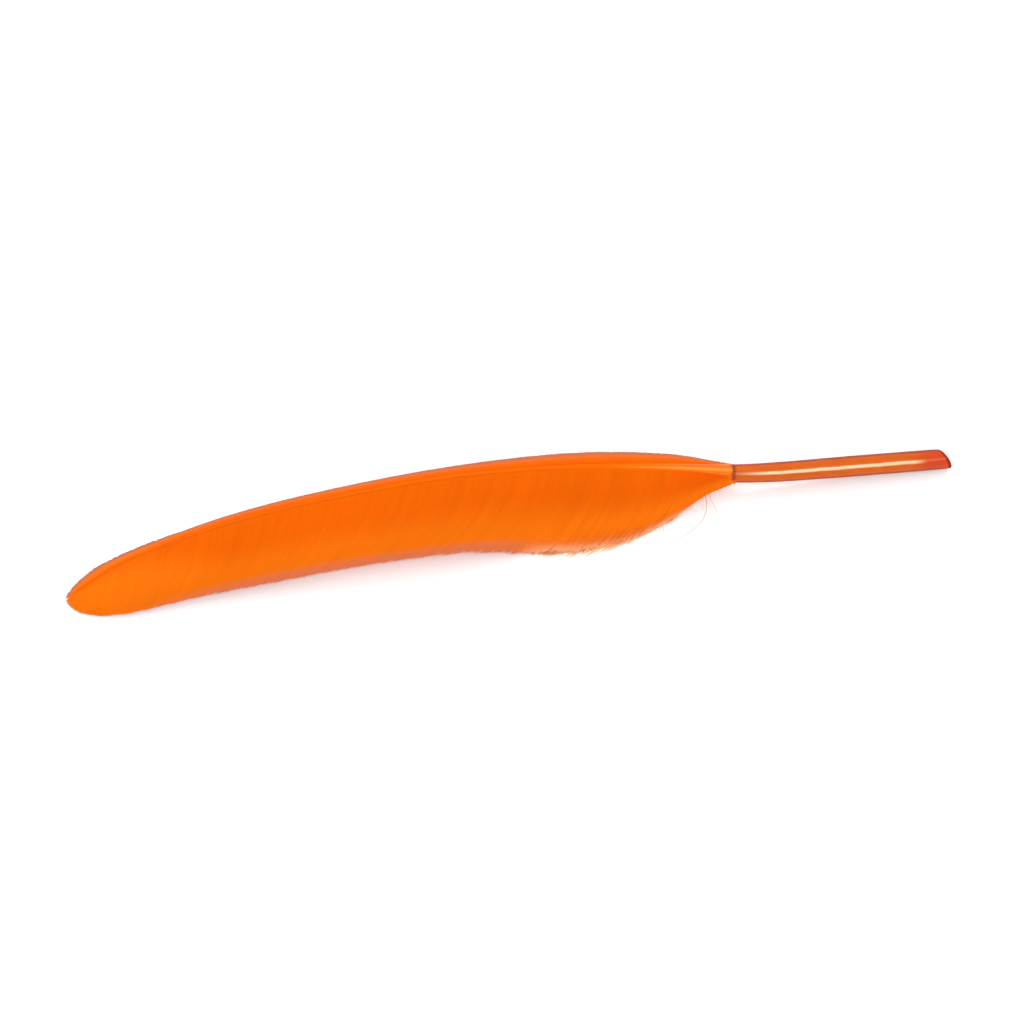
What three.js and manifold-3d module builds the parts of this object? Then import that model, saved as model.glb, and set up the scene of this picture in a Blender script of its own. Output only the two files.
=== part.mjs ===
// A goose quill feather lying on a flat surface, upper side up, in millimetres with +Z up.
// The quill end points along +X and the tip along -X. The narrow leading vane is on the +Y side
// and the broad trailing vane on the -Y side. It rests on the quill end, on the tip with the
// leading margin next to it, and on the downy foot of the trailing vane.

import * as THREE from 'three';
import { mergeVertices } from 'three/addons/utils/BufferGeometryUtils.js';
import Module from 'manifold-3d';

const wasm = await Module();
wasm.setup();

// Driving dimensions
const LENGTH = 153; // straight line from the quill end to the tip
const QUILL_RADIUS = 1.82; // thickest part of the bare quill
const QUILL_SHARE = 0.243; // share of the shaft, from its lower end, that carries no vane
const VANE_THICKNESS = 0.5; // next to the shaft
const MARGIN_THICKNESS = 0.26; // at both margins
const TIP_THINNING = 0.4; // share of its thickness that the vane loses by the tip
const LEAD_ROOT = 0.5; // height over the middle of the shaft at which the leading barbs leave it,
const TRAIL_ROOT = 0.8; // and the trailing barbs, as shares of its radius
const FLOOR_SKIN = 0.2; // thickness of what is pressed flat on the surface

// Vanes
const LOCKS = 32; // bundles of barbs along each vane
const ROWS = 2 * LOCKS;
const LEAD_COLUMNS = 5;
const TRAIL_COLUMNS = 8;
const LOCK_RIDGE = 0.09; // how far the middle of a lock stands over its edges
const SERRATION = 0.012; // share of a barb's length by which a lock's middle is longer
const SPLIT_DEPTH = 0.055; // share of a barb's length that a parting cuts in from the margin
const SPLIT_EVERY = 14; // rows between partings of the trailing vane
const LEAD_ADVANCE = 0.075; // how far ahead of its root a barb ends, as a share of the margin
const TRAIL_ADVANCE = 0.105;
const ADVANCE_LEAN = 0.7; // under 1, the barbs lean most in the lower half of the vane
const BARB_BEND = 1.4; // over 1, a barb leaves the shaft squarely and turns towards the tip
const TRAIL_CURL = THREE.MathUtils.degToRad(72); // arc that the trailing vane bends through
const TRAIL_SLOPE = 0.15; // share of its fall that the trailing vane makes as a straight slope
const LEAD_SLOPE = 0.45; // the same share of the leading vane
const NORMAL_STEP = 0.01; // share of a barb and of the vane over which a normal is measured

// Shaft
const SHAFT_SIDES = 12;
const SHAFT_STEPS = 44;
const SHAFT_FLATNESS = 0.92; // height over width
const END_SLANT = 0.58; // slope of the quill's oblique end
const END_SLANT_LENGTH = 5; // stretch of the quill over which the slant fades out
const PIT_RADIUS = 0.5; // the small opening in the end of the quill
const PIT_DEPTH = 1.4;
const PIT_LIP = 0.1; // how far the pit's wall stops short of the quill's end
const SHAFT_REACH = 0.968; // share of the shaft line that the shaft fills

// Down at the foot of the trailing vane
const DOWN_LOCKS = 14;
const DOWN_RANGE = [0.06, 0.22]; // share of the vane, from its foot, that carries down
const DOWN_REACH = [0.9, 1.8]; // shortest and longest reach past the margin
const DOWN_ROOT = 0.7; // place across the vane where a tuft leaves it
const DOWN_RADIUS = 0.5;
const DOWN_TIP_RADIUS = 0.1;
const DOWN_FLATNESS = 0.5;
const DOWN_SIDES = 6;
const DOWN_STEPS = 4;

// Each outline point is [place along, from 1 at the quill end to -1 at the tip; mm across; mm up].
const SHAFT_LINE = curveThrough([
  [0.994, -0.1, 1.45],
  [0.784, 0.8, 2.4],
  [0.6, 1.75, 3],
  [0.51, 2.5, 3.4],
  [0.4, 4, 4.3],
  [0.27, 5.5, 5.35],
  [0.1, 6.8, 6.7],
  [-0.12, 7.6, 7.85],
  [-0.36, 7.6, 7.2],
  [-0.56, 7.1, 6],
  [-0.73, 5.75, 4.15],
  [-0.87, 3.8, 2.35],
  [-0.985, 0.55, 0.5],
]);
const LEAD_MARGIN = curveThrough([
  [0.53, 4, 2.8],
  [0.468, 5.85, 2.6],
  [0.4, 7.55, 3],
  [0.29, 9.15, 3.8],
  [0.15, 10.35, 4.7],
  [-0.02, 10.9, 5.25],
  [-0.2, 11, 5.1],
  [-0.38, 10.7, 4.3],
  [-0.52, 10.35, 3],
  [-0.64, 9.75, 1.4],
  [-0.73, 8.95, 0],
  [-0.8, 7.9, -0.35],
  [-0.87, 6.45, -0.35],
  [-0.93, 4.75, -0.2],
  [-0.975, 2.5, 0],
  [-0.994, 1.1, 0.1],
  [-1.001, 0.15, 0.15],
]);
const TRAIL_MARGIN = curveThrough([
  [0.512, 0.9, 2.9],
  [0.44, -0.2, 2.2],
  [0.36, -2.6, 0.4],
  [0.25, -4.9, -1.2],
  [0.12, -5.4, -1.5],
  [-0.02, -4.7, 1.2],
  [-0.123, -4.2, 3.2],
  [-0.332, -3.7, 3.4],
  [-0.541, -3.75, 2.5],
  [-0.723, -3.85, 1.5],
  [-0.867, -4.35, 0.7],
  [-0.929, -3.9, 0.35],
  [-0.972, -2.75, 0.2],
  [-0.994, -1.25, 0.15],
  [-1.001, -0.1, 0.15],
]);
// The shaft's radius at shares of its length, from the thick quill to the hair-thin tip
const SHAFT_PROFILE = [
  [0.86, 0],
  [0.95, 0.004],
  [0.98, 0.015],
  [1, 0.06],
  [1, 0.12],
  [0.95, 0.19],
  [0.89, 0.235],
  [0.84, 0.25],
  [0.7, 0.28],
  [0.6, 0.33],
  [0.5, 0.4],
  [0.41, 0.52],
  [0.31, 0.68],
  [0.22, 0.84],
  [0.13, 0.965],
];

function curveThrough(points) {
  return new THREE.CatmullRomCurve3(
    points.map(([along, across, up]) => new THREE.Vector3((along * LENGTH) / 2, across, up)),
  );
}

// Moves every vertex of a geometry to where place(x, y, z) puts it, and keeps it above the surface.
function bend(geometry, place) {
  const position = geometry.attributes.position;
  for (let i = 0; i < position.count; i++) {
    const height = position.getZ(i);
    const p = place(position.getX(i), position.getY(i), height);
    const lowest = height > 0 ? FLOOR_SKIN : 0;
    position.setXYZ(i, p.x, p.y, Math.max(p.z, lowest));
  }
  return geometry;
}

function solidFrom(geometry) {
  geometry.deleteAttribute('normal');
  geometry.deleteAttribute('uv');
  const merged = mergeVertices(geometry, 1e-3);
  return new wasm.Manifold(
    new wasm.Mesh({
      numProp: 3,
      vertProperties: merged.attributes.position.array,
      triVerts: new Uint32Array(merged.index.array),
    }),
  );
}

function geometryFrom(solid) {
  const mesh = solid.getMesh();
  const geometry = new THREE.BufferGeometry();
  geometry.setAttribute('position', new THREE.BufferAttribute(mesh.vertProperties, 3));
  geometry.setIndex(new THREE.BufferAttribute(mesh.triVerts, 1));
  return geometry;
}

// The shaft's radius at a share of its length, read straight between the points of its profile.
function shaftRadius(share) {
  const found = SHAFT_PROFILE.findIndex(([, place]) => place > share);
  const next = found < 0 ? SHAFT_PROFILE.length - 1 : found;
  const [radius, start] = SHAFT_PROFILE[next - 1];
  const [nextRadius, end] = SHAFT_PROFILE[next];
  const place = Math.min(share, end);
  return QUILL_RADIUS * THREE.MathUtils.mapLinear(place, start, end, radius, nextRadius);
}

// The point at share t of the barb that leaves the shaft at share r of the vane, before thickness.
function barbPoint(leading, r, t) {
  const place = QUILL_SHARE + (1 - QUILL_SHARE) * r;
  const root = SHAFT_LINE.getPointAt(place);
  root.z += shaftRadius(place) * (leading ? LEAD_ROOT : TRAIL_ROOT);
  const advance = leading ? LEAD_ADVANCE : TRAIL_ADVANCE;
  const ahead = advance * Math.sin(Math.PI * r ** ADVANCE_LEAN);
  const margin = leading ? LEAD_MARGIN : TRAIL_MARGIN;
  const end = margin.getPointAt(Math.min(r + ahead, 1));
  const along = t ** BARB_BEND;
  const across = leading ? t : Math.sin(TRAIL_CURL * t) / Math.sin(TRAIL_CURL);
  const curl = (1 - Math.cos(TRAIL_CURL * t)) / (1 - Math.cos(TRAIL_CURL));
  const down = leading
    ? THREE.MathUtils.lerp(t * t, t, LEAD_SLOPE)
    : THREE.MathUtils.lerp(curl, t, TRAIL_SLOPE);
  return new THREE.Vector3(
    THREE.MathUtils.lerp(root.x, end.x, along),
    THREE.MathUtils.lerp(root.y, end.y, across),
    THREE.MathUtils.lerp(root.z, end.z, down),
  );
}

function vaneNormal(leading, r, t) {
  const alongVane = barbPoint(leading, Math.min(r + NORMAL_STEP, 1), t).sub(
    barbPoint(leading, Math.max(r - NORMAL_STEP, 0), t),
  );
  const alongBarb = barbPoint(leading, r, Math.min(t + NORMAL_STEP, 1)).sub(
    barbPoint(leading, r, Math.max(t - NORMAL_STEP, 0)),
  );
  const normal = alongVane.cross(alongBarb).normalize();
  return normal.z < 0 ? normal.negate() : normal;
}

// Both vanes are one sheet with a row for each edge and each middle of a lock.
function vanes() {
  const columns = TRAIL_COLUMNS + LEAD_COLUMNS;
  const sheet = new THREE.BoxGeometry(1, 1, 1, columns, ROWS, 1);
  return bend(sheet, (x, y, z) => {
    const column = Math.round((x + 0.5) * columns) - TRAIL_COLUMNS;
    const row = Math.round((y + 0.5) * ROWS);
    const leading = column > 0;
    const share = leading ? column / LEAD_COLUMNS : -column / TRAIL_COLUMNS;
    const middle = row % 2 === 1;
    const parted = !leading && row % SPLIT_EVERY === SPLIT_EVERY - 2;
    const reach = parted ? 1 - SPLIT_DEPTH : 1 + (middle ? SERRATION : 0);
    const t = share * (share === 1 ? reach : 1);
    const r = row / ROWS;
    const rootThickness = VANE_THICKNESS * (1 - TIP_THINNING * r);
    const thickness = THREE.MathUtils.lerp(rootThickness, MARGIN_THICKNESS, share);
    const ridge = middle && share > 0 ? LOCK_RIDGE : 0;
    const lift = z * thickness + (z > 0 ? ridge : 0);
    return barbPoint(leading, r, t).addScaledVector(vaneNormal(leading, r, share), lift);
  });
}

// The shaft is turned on a lathe along +Y and then laid along the shaft line.
function shaft() {
  const length = SHAFT_LINE.getLength();
  const outline = SHAFT_PROFILE.map(([r, d]) => new THREE.Vector2(r * QUILL_RADIUS, d * length));
  const profile = [
    new THREE.Vector2(0, PIT_DEPTH),
    new THREE.Vector2(PIT_RADIUS, PIT_DEPTH),
    new THREE.Vector2(PIT_RADIUS, PIT_LIP),
    ...new THREE.SplineCurve(outline).getPoints(SHAFT_STEPS),
    new THREE.Vector2(0, SHAFT_REACH * length),
  ];
  const halfSide = Math.PI / SHAFT_SIDES;
  const turned = new THREE.LatheGeometry(profile, SHAFT_SIDES, halfSide, 2 * Math.PI);
  return bend(turned, (x, y, z) => {
    const slant = END_SLANT * Math.max(0, 1 - y / END_SLANT_LENGTH);
    const distance = y + slant * x;
    const place = THREE.MathUtils.clamp(distance / length, 0, 1);
    const tangent = SHAFT_LINE.getTangentAt(place);
    const side = tangent.clone().cross(new THREE.Vector3(0, 0, 1)).normalize();
    const up = side.clone().cross(tangent);
    return SHAFT_LINE.getPointAt(place)
      .addScaledVector(tangent, distance - place * length)
      .addScaledVector(side, x)
      .addScaledVector(up, z * SHAFT_FLATNESS);
  });
}

// A tuft of down: a flat tapered blade that leaves the vane, passes its margin and touches down.
function downLock(index) {
  const share = index / (DOWN_LOCKS - 1);
  const r = THREE.MathUtils.lerp(DOWN_RANGE[0], DOWN_RANGE[1], share);
  const longest = Math.sin(Math.PI * share) * (index % 2 ? 1 : 0.7);
  const reach = THREE.MathUtils.lerp(DOWN_REACH[0], DOWN_REACH[1], longest);
  const margin = barbPoint(false, r, 1);
  const end = new THREE.Vector3(margin.x - reach, margin.y - reach, margin.z - reach);
  const path = new THREE.QuadraticBezierCurve3(barbPoint(false, r, DOWN_ROOT), margin, end);
  const blade = new THREE.CylinderGeometry(
    DOWN_TIP_RADIUS,
    DOWN_RADIUS,
    1,
    DOWN_SIDES,
    DOWN_STEPS,
  );
  return bend(blade, (x, y, z) => {
    const tangent = path.getTangent(y + 0.5);
    const side = tangent.clone().cross(new THREE.Vector3(0, 0, 1)).normalize();
    const up = side.clone().cross(tangent);
    return path
      .getPoint(y + 0.5)
      .addScaledVector(side, x)
      .addScaledVector(up, z * DOWN_FLATNESS);
  });
}

function feather() {
  let body = solidFrom(vanes()).add(solidFrom(shaft()));
  for (let i = 0; i < DOWN_LOCKS; i++) body = body.add(solidFrom(downLock(i)));
  const material = new THREE.MeshStandardMaterial({
    color: 0xfa6c05,
    roughness: 0.6,
    metalness: 0,
    flatShading: true,
  });
  const mesh = new THREE.Mesh(geometryFrom(body), material);
  mesh.name = 'feather';
  return mesh;
}

const part = new THREE.Group();
const mesh = feather();
mesh.geometry.computeBoundingBox();
const centre = mesh.geometry.boundingBox.getCenter(new THREE.Vector3());
mesh.position.set(-centre.x, -centre.y, 0);
part.add(mesh);

export default part;
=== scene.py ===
import math

import bmesh
import bpy
import numpy as np
from bpy.props import FloatProperty, FloatVectorProperty, IntProperty, PointerProperty
from mathutils import Matrix, Vector


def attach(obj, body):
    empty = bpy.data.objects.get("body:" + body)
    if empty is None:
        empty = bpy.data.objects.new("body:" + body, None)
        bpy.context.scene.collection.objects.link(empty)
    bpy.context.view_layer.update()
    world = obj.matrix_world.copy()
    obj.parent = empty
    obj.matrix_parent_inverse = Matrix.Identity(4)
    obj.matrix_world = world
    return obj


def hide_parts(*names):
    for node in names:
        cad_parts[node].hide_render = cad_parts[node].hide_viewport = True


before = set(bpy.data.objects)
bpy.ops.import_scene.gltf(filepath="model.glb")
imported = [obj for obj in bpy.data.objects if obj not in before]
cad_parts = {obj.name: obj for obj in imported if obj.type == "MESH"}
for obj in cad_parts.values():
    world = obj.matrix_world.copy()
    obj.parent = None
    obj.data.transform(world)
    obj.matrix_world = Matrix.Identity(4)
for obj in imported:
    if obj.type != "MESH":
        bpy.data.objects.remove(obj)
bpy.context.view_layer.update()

bl_info = {
    "name": "Goose Quill Feather",
    "version": (1, 0, 0),
    "blender": (4, 5, 0),
    "location": "View3D > Sidebar > Feather",
    "description": "Dresses a lying goose quill feather with barbs, horn and down",
    "category": "Object",
}

MM = 0.001
NODE = "feather"
BODY = "root"

# The feather's outline, as in the solid: [place along, from 1 at the quill end to -1 at the tip;
# mm across; mm up], before the whole is centred on its box.
LENGTH = 153.0
SHAFT_POINTS = [
    [0.994, -0.1, 1.45],
    [0.784, 0.8, 2.4],
    [0.6, 1.75, 3],
    [0.51, 2.5, 3.4],
    [0.4, 4, 4.3],
    [0.27, 5.5, 5.35],
    [0.1, 6.8, 6.7],
    [-0.12, 7.6, 7.85],
    [-0.36, 7.6, 7.2],
    [-0.56, 7.1, 6],
    [-0.73, 5.75, 4.15],
    [-0.87, 3.8, 2.35],
    [-0.985, 0.55, 0.5],
]
LEAD_POINTS = [
    [0.53, 4, 2.8],
    [0.468, 5.85, 2.6],
    [0.4, 7.55, 3],
    [0.29, 9.15, 3.8],
    [0.15, 10.35, 4.7],
    [-0.02, 10.9, 5.25],
    [-0.2, 11, 5.1],
    [-0.38, 10.7, 4.3],
    [-0.52, 10.35, 3],
    [-0.64, 9.75, 1.4],
    [-0.73, 8.95, 0],
    [-0.8, 7.9, -0.35],
    [-0.87, 6.45, -0.35],
    [-0.93, 4.75, -0.2],
    [-0.975, 2.5, 0],
    [-0.994, 1.1, 0.1],
    [-1.001, 0.15, 0.15],
]
TRAIL_POINTS = [
    [0.512, 0.9, 2.9],
    [0.44, -0.2, 2.2],
    [0.36, -2.6, 0.4],
    [0.25, -4.9, -1.2],
    [0.12, -5.4, -1.5],
    [-0.02, -4.7, 1.2],
    [-0.123, -4.2, 3.2],
    [-0.332, -3.7, 3.4],
    [-0.541, -3.75, 2.5],
    [-0.723, -3.85, 1.5],
    [-0.867, -4.35, 0.7],
    [-0.929, -3.9, 0.35],
    [-0.972, -2.75, 0.2],
    [-0.994, -1.25, 0.15],
    [-1.001, -0.1, 0.15],
]
CENTRING = np.array([-0.1101, -1.9987, 0.0])

# The shaft's radius as a share of the quill's, at shares of the shaft's length
SHAFT_PROFILE = [
    [0.94, 0],
    [0.98, 0.003],
    [0.99, 0.015],
    [1, 0.06],
    [1, 0.12],
    [0.95, 0.19],
    [0.89, 0.235],
    [0.84, 0.25],
    [0.7, 0.28],
    [0.6, 0.33],
    [0.5, 0.4],
    [0.41, 0.52],
    [0.31, 0.68],
    [0.22, 0.84],
    [0.13, 0.965],
]
SHAFT_FLATNESS = 0.92  # the shaft's height over its width
QUILL_SHARE = 0.243  # share of the shaft that is bare quill
SHAFT_END = 0.985  # share of its length at which the shaft stops, inside the tip
QUILL_LAP = 0.004  # share by which the quill runs on inside the shaft above it
HOLLOW = 0.93  # radius of the quill's hollow over the quill's own
CUT_RIM = 0.0035  # share of the shaft that the opaque rim of the cut takes up
END_SLANT = 0.58  # mm that the cut leans for each mm across it
END_SLANT_LENGTH = 5.0  # mm from the end over which that lean fades
# The pale stripe in the quill is a painted highlight
HIGHLIGHT_TURN = math.radians(27)  # how far the pale streak in the quill lies off its top

# How the barbs leave the shaft and bend to the margin
LEAD_ROOT = 0.5  # height of the barbs' roots over the shaft's middle, in its radii
TRAIL_ROOT = 0.8
LEAD_ADVANCE = 0.075  # how far ahead of its root a barb ends, as a share of the vane
TRAIL_ADVANCE = 0.105
ADVANCE_LEAN = 0.7  # below 1, the barbs reach furthest ahead nearer to the neck
BARB_BEND = 1.4  # power by which a barb turns towards the feather's tip
LEAD_SLOPE = 0.45  # share of its fall that a barb makes evenly; the rest comes late
TRAIL_SLOPE = 0.15
TRAIL_CURL = math.radians(72)  # how far the trailing barbs turn under

# The barbs' cross-section, and how unevenly they grow
BARB_SIDES = 4
BARB_STEPS = 16
TIP_WIDTH = 0.06  # a barb's width at its tip over its full width
SHORTEST_TAPER = 0.5  # mm over which even a short barb narrows to its tip
FOOT_OVERLAP = 0.4  # extra width where a barb leaves the shaft
FOOT_SHARE = 0.14  # share of a barb that has that extra width
BARB_LIFT = 0.08  # mm from the vane's surface to a barb's middle
SHINGLE = 0.014  # mm that one side of a barb stands over the next barb
ROOT_JITTER = 0.08  # of the distance between roots
REACH_JITTER = 0.005  # of a barb's length
REACH_WAVE = 0.008  # of a barb's length, in waves along the margin
WAVE_TURN = 140  # radians that those waves make along the vane
SWAY = 0.0004  # of the vane's length, at the barbs' tips
RISE = 0.005  # mm
RESTING = (0.13, 0.07, 0.03)  # mm off the table of a resting barb's top, sides and bottom

# Where neighbouring barbs part: share of the vane, gap, share of the barbs where it starts,
# and how far it spreads to both sides
LEAD_SPLITS = [(0.36, 0.0008, 0.75, 0.015), (0.985, 0.0016, 0.5, 0.01)]
TRAIL_SPLITS = [
    (0.43, 0.0008, 0.85, 0.01),
    (0.62, 0.001, 0.86, 0.015),
    (0.9, 0.0008, 0.8, 0.015),
]

# The loose foot of the trailing vane, where the lowest barbs end in down
DOWN_RANGE = (0.055, 0.215)  # shares of the vane where it begins and ends
LOOSE_FROM = 0.74  # share of a barb at which it starts to come loose
LOOSE_REACH = (-0.02, 0.12)  # extra length, as a share of a barb's own
LOOSE_TAPER = 0.05  # share of a barb by which its taper is longer
LOOSE_OVERLAP = 0.2  # extra width of a loose barb
LOOSE_SWAY = 0.0008  # of the vane's length
LOOSE_RISE = 0.04  # mm
FRINGE_REACH = 2.1  # mm that the loose ends run on past the curled margin
FRINGE_LIFT = 0.8  # mm that they lift
FRINGE_SPREAD = (0.5, 1.1)  # least and most of both for one barb

# The down: loose threads with finer ones, the barbules, along them; least and most of each
DOWN_ROOTS = (0.72, 0.95)  # shares of a barb where the threads leave the vane
DOWN_LIFT = 0.12  # mm that they leave it above its surface
DOWN_HEIGHTS = (0.05, 1.1)  # mm off the table of their free ends
DOWN_RADII = (0.018, 0.03)  # mm
BARBULE_LENGTHS = (0.25, 0.8)  # mm
BARBULE_RADII = (0.009, 0.015)  # mm
THREAD_GAP = 0.02  # mm between the table and the middle of a resting thread
THREAD_HEIGHT = 0.01  # mm from there to its top

# Long stray hairs beside the neck: root, bend and end of each in mm
LONG_HAIRS = [
    [(33.5, -1.7, 1.6), (34.2, -7.3, 0.9), (25.9, -8.8, 0.2)],
    [(24.7, -3.6, 1.0), (25.7, -6.4, 0.8), (24.9, -8.7, 0.2)],
    [(34.2, -2.0, 1.5), (34.9, -4.5, 0.9), (35.5, -6.1, 0.2)],
]
LONG_HAIR_RADII = [0.08, 0.05, 0.05]  # mm
SHORT_HAIR_RADIUS = 0.035  # mm

# The colour of light that has come through the barbs, and through the down
THROUGH = (0.95, 0.2, 0.01)
THROUGH_DOWN = (1.0, 0.5, 0.2)

# How the horn of the quill absorbs light: the colour that it lets pass, and its density
HORN_TINT = (0.94, 0.717, 0.6)
HORN_DENSITY = 3000.0

# Patterns: cells for each metre, or along the vane and across it, and depths of bumps
VANE_PATCHES = 70.0
HORN_CLOUDS = 260.0
PITH_CLOUDS = 300.0
TABLE_GRAIN = 40.0
DYE_STREAKS = (60.0, 1.5)
FRAYED_STRANDS = (260.0, 2.5)
BARBULE_DEPTH = 0.03 * MM
HORN_DEPTH = 0.04 * MM

# The photograph's station point, and how its frame is turned about the line of sight
CAMERA_PLACE = (-137.5, -312.9, 751.2)
CAMERA_TARGET = (0, 0, 3)
CAMERA_ROLL = math.radians(12.82)
CAMERA_LENS = 171.0
SENSOR = 36.0

# Soft lights: name, place, what it points at and size in metres, and power in watts
LAMPS = [
    ("back panel", (-0.45, 1.25, 0.82), (0, 0, 0), (0.16, 0.16), 9.5),
    ("strip over the camera", (0.37, -0.48, 1.17), (0.05, 0, 0), (0.7, 0.02), 3.2),
]
SKY_STRENGTH = 1.02
TABLE_HALF = 3.0  # metres from the middle of the table to its edge
TABLE_GAP = 0.02 * MM  # keeps the table just under the feather


class Line:
    """A centripetal Catmull-Rom curve through outline points, read by share of its length."""

    SAMPLES = 1200

    def __init__(self, points):
        places = np.array(points, float)
        places[:, 0] *= LENGTH / 2
        places += CENTRING
        first = 2 * places[0] - places[1]
        last = 2 * places[-1] - places[-2]
        ring = np.vstack([first, places, last])
        shares = np.linspace(0, len(places) - 1, self.SAMPLES)
        spans = np.minimum(shares.astype(int), len(places) - 2)
        rest = (shares - spans)[:, None]
        before, start, end, after = (ring[spans + i] for i in range(4))
        gaps = [
            np.sqrt(np.linalg.norm(b - a, axis=1))[:, None]
            for a, b in ((before, start), (start, end), (end, after))
        ]
        leave = (start - before) / gaps[0] - (end - before) / (gaps[0] + gaps[1])
        leave = (leave + (end - start) / gaps[1]) * gaps[1]
        arrive = (end - start) / gaps[1] - (after - start) / (gaps[1] + gaps[2])
        arrive = (arrive + (after - end) / gaps[2]) * gaps[1]
        square = 3 * (end - start) - 2 * leave - arrive
        cube = 2 * (start - end) + leave + arrive
        self.points = start + leave * rest + square * rest**2 + cube * rest**3
        steps = np.linalg.norm(np.diff(self.points, axis=0), axis=1)
        self.distances = np.concatenate([[0], np.cumsum(steps)])
        self.length = self.distances[-1]

    def at(self, share):
        """Points in millimetres at shares of the length; past the ends it runs on straight."""
        share = np.asarray(share, float)
        inside = np.clip(share, 0, 1)
        distance = inside * self.length
        point = np.stack(
            [np.interp(distance, self.distances, self.points[:, i]) for i in range(3)], axis=-1
        )
        over = (share - inside)[..., None] * self.length
        return point + over * self.tangent(inside) if np.any(over) else point

    def tangent(self, share):
        ahead = self.at(np.clip(np.asarray(share) + 0.002, 0, 1))
        behind = self.at(np.clip(np.asarray(share) - 0.002, 0, 1))
        return unit(ahead - behind)


def unit(vectors):
    return vectors / np.linalg.norm(vectors, axis=-1, keepdims=True)


SHAFT_LINE = Line(SHAFT_POINTS)
LEAD_MARGIN = Line(LEAD_POINTS)
TRAIL_MARGIN = Line(TRAIL_POINTS)
VANE_SIDES = {
    "leading": (LEAD_MARGIN, LEAD_ADVANCE, LEAD_ROOT),
    "trailing": (TRAIL_MARGIN, TRAIL_ADVANCE, TRAIL_ROOT),
}
SPLITS = {"leading": LEAD_SPLITS, "trailing": TRAIL_SPLITS}


def smooth(low, high, value):
    """0 up to low, 1 from high on, and an even ease between them."""
    share = np.clip((value - low) / (high - low), 0, 1)
    return share * share * (3 - 2 * share)


def shaft_radius(share):
    """The shaft's radius in mm at shares of its length."""
    radii, places = np.array(SHAFT_PROFILE).T
    return np.interp(share, places, radii) * sizes().quill_radius / MM


def barb_points(side, r, t):
    """Points at share t of the barbs that leave the shaft at share r of the vane, in mm."""
    margin, advance, rise = VANE_SIDES[side]
    place = QUILL_SHARE + (1 - QUILL_SHARE) * r
    root = SHAFT_LINE.at(place)
    root[..., 2] += rise * shaft_radius(place)
    ahead = advance * np.sin(np.pi * np.clip(r, 0, 1) ** ADVANCE_LEAN)
    end = margin.at(np.minimum(r + ahead, 1))
    along = np.maximum(t, 0) ** BARB_BEND
    if side == "leading":
        across = t
        down = LEAD_SLOPE * t + (1 - LEAD_SLOPE) * t * t
    else:
        across = np.sin(TRAIL_CURL * t) / math.sin(TRAIL_CURL)
        curl = (1 - np.cos(TRAIL_CURL * t)) / (1 - math.cos(TRAIL_CURL))
        down = TRAIL_SLOPE * t + (1 - TRAIL_SLOPE) * curl
    shares = np.stack(np.broadcast_arrays(along, across, down), axis=-1)
    return root + (end - root) * shares


def barb_frames(side, r, t, step=0.01):
    """The direction along each barb, the vane's normal, and how far the next root's barb lies."""
    low, high = np.clip(r - step, 0, 1), np.clip(r + step, 0, 1)
    beside = (barb_points(side, high, t) - barb_points(side, low, t)) / (high - low)[..., None]
    inner, outer = np.clip(t - step, 0, 1), np.clip(t + step, 0, 1)
    along = unit(barb_points(side, r, outer) - barb_points(side, r, inner))
    normal = unit(np.cross(beside, along))
    normal *= np.where(normal[..., 2:] < 0, -1, 1)
    return along, normal, beside


# Meshes


def from_bmesh(name, bm):
    """A piece from a finished bmesh, which is freed."""
    mesh = bpy.data.meshes.new(name)
    bm.to_mesh(mesh)
    bm.free()
    return place_piece(name, mesh)


def place_piece(name, mesh):
    piece = bpy.data.objects.new(name, mesh)
    bpy.context.scene.collection.objects.link(piece)
    return piece


def strand(sides, steps, point=1.0):
    """A closed strand along Z from 0 to 1, of radius 1 at its root and point at its end.

    Its faces are wound for places whose third axis runs against the other two.
    """
    bm = bmesh.new()
    bmesh.ops.create_cone(
        bm, cap_ends=True, segments=sides, radius1=1, radius2=point, depth=1
    )
    bmesh.ops.translate(bm, vec=(0, 0, 0.5), verts=bm.verts)
    lengthwise = [e for e in bm.edges if abs(e.verts[0].co.z - e.verts[1].co.z) > 0.5]
    bmesh.ops.subdivide_edges(bm, edges=lengthwise, cuts=steps - 1)
    bmesh.ops.recalc_face_normals(bm, faces=bm.faces)
    bm.verts.index_update()
    corners = np.array([v.co for v in bm.verts])
    faces = [[v.index for v in reversed(face.verts)] for face in bm.faces]
    bm.free()
    return corners, faces


def joined_strands(name, template, places, values, sharp=False):
    """One mesh with a copy of the template's faces for each row of places, in millimetres."""
    corners, faces = template
    count = len(places)
    mesh = bpy.data.meshes.new(name)
    mesh.vertices.add(count * len(corners))
    mesh.vertices.foreach_set("co", (places * MM).astype(np.float32).ravel())
    loops = np.concatenate(faces)
    totals = np.array([len(face) for face in faces])
    offsets = np.arange(count)[:, None]
    mesh.loops.add(count * len(loops))
    mesh.loops.foreach_set("vertex_index", (loops + len(corners) * offsets).ravel())
    starts = np.concatenate([[0], np.cumsum(totals)[:-1]])
    mesh.polygons.add(count * len(faces))
    mesh.polygons.foreach_set("loop_start", (starts + len(loops) * offsets).ravel())
    mesh.polygons.foreach_set("loop_total", np.tile(totals, count))
    mesh.update(calc_edges=True)
    for key, array in values.items():
        layer = mesh.attributes.new(key, "FLOAT", "POINT")
        layer.data.foreach_set("value", np.asarray(array, np.float32).ravel())
    mesh.shade_smooth()
    if sharp:
        ends = np.zeros(2 * len(mesh.edges), np.int32)
        mesh.edges.foreach_get("vertices", ends)
        at_side = np.abs(corners[ends % len(corners), 0]) > 0.9
        edge = mesh.attributes.new("sharp_edge", "BOOLEAN", "EDGE")
        edge.data.foreach_set("value", at_side.reshape(-1, 2).all(axis=1))
    return place_piece(name, mesh)


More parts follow.
